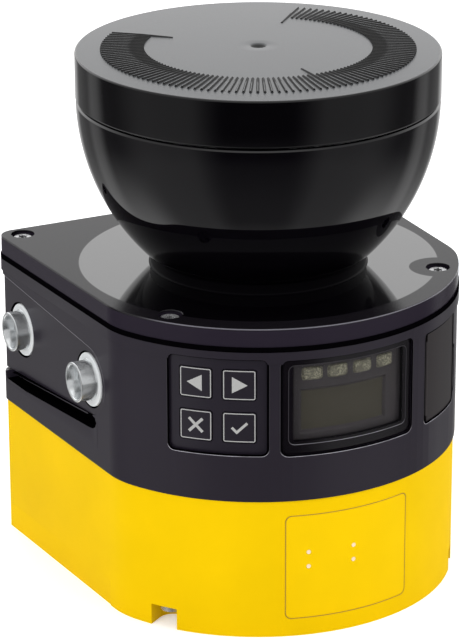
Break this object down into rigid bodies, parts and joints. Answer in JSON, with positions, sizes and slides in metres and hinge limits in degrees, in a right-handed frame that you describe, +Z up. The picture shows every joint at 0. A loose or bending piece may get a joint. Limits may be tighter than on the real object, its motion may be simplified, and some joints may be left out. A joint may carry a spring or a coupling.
{
  "type": "safety laser scanner",
  "caption": "Compact safety laser scanner: yellow base, black housing with keypad and display, and a dark bowl-shaped optics cover under a flat round cap with a field scale.",
  "frame": {"origin": "on the scan axis, in the plane of the base's underside", "axes": "+Z up along the scan axis, -Y to the front, where the keypad and display are, +X to the right side"},
  "size_m": [0.1148, 0.1109, 0.1508],
  "materials": {
    "cover_plastic": "smoked, polished",
    "cap_top": "satin",
    "housing_plastic": "fine texture",
    "base_yellow": "satin",
    "film_yellow": "satin",
    "zinc_steel": "zinc plated",
    "screw_steel": "plated",
    "seal_rubber": "matt",
    "key_rubber": "satin",
    "port_rubber": "satin",
    "window_glass": "smoked",
    "lcd": "grey",
    "light_guide": "milky",
    "board": "solder resist",
    "connector_metal": "nickel plated",
    "die_cast": "as cast",
    "inner_plastic": "matt",
    "lens_glass": "clear",
    "mirror": "polished",
    "copper": "enamelled wire",
    "flex": "polyimide"
  },
  "bodies": {
    "root": {"optics_cover": "cover_plastic", "cover_flange": "cover_plastic", "head_cap": "cap_top", "cover_seal": "seal_rubber", "cover_screws": "screw_steel", "housing": "housing_plastic", "housing_seal": "seal_rubber", "base_housing": "base_yellow", "base_screws": "screw_steel", "side_bushings": "zinc_steel", "rear_bushings": "zinc_steel", "keypad_frame": "housing_plastic", "keypad_board": "board", "window_gasket": "seal_rubber", "display_window": "window_glass", "display_module": "lcd", "led_guides": "light_guide", "display_board": "board", "service_port": "connector_metal", "status_film": "film_yellow", "status_guides": "light_guide", "status_board": "board", "main_board": "board", "power_board": "board", "system_plug": "inner_plastic", "plug_seal": "seal_rubber", "plug_screws": "screw_steel", "power_connector": "connector_metal", "network_connectors": "connector_metal", "optics_frame": "die_cast", "frame_screws": "screw_steel", "monitor_board": "board", "receiver_tube": "inner_plastic", "receiver_lens": "lens_glass", "receiver_board": "board", "laser_module": "die_cast", "bearings": "screw_steel", "motor_stator": "copper", "motor_flex": "flex", "encoder_sensor": "inner_plastic"},
    "rotor": {"rotor_bell": "die_cast", "rotor_shaft": "screw_steel", "mirror_carrier": "inner_plastic", "deflection_mirror": "mirror", "encoder_disc": "screw_steel"},
    "port_cover": {"port_cover": "port_rubber"},
    "key_back": {"key_back": "key_rubber"},
    "key_forward": {"key_forward": "key_rubber"},
    "key_cancel": {"key_cancel": "key_rubber"},
    "key_confirm": {"key_confirm": "key_rubber"}
  },
  "joints": [
    {"name": "rotor_spin", "type": "hinge", "parent": "root", "child": "rotor", "pos_m": [0, 0, 0.107], "axis": [0, 0, 1], "continuous": true},
    {"name": "port_cover_hinge", "type": "hinge", "parent": "root", "child": "port_cover", "pos_m": [0.02572, -0.04867, 0.06615], "axis": [0, 0, -1], "range_deg": [0, 110]},
    {"name": "key_back_press", "type": "slide", "parent": "root", "child": "key_back", "axis": [0.7071, 0.7071, 0], "range_m": [0, 0.0004], "stiffness_N_per_m": 1500, "springref_m": -0.0005},
    {"name": "key_forward_press", "type": "slide", "parent": "root", "child": "key_forward", "axis": [0.5388, 0.8425, 0], "range_m": [0, 0.0004], "stiffness_N_per_m": 1500, "springref_m": -0.0005},
    {"name": "key_cancel_press", "type": "slide", "parent": "root", "child": "key_cancel", "axis": [0.7071, 0.7071, 0], "range_m": [0, 0.0004], "stiffness_N_per_m": 1500, "springref_m": -0.0005},
    {"name": "key_confirm_press", "type": "slide", "parent": "root", "child": "key_confirm", "axis": [0.5388, 0.8425, 0], "range_m": [0, 0.0004], "stiffness_N_per_m": 1500, "springref_m": -0.0005}
  ]
}
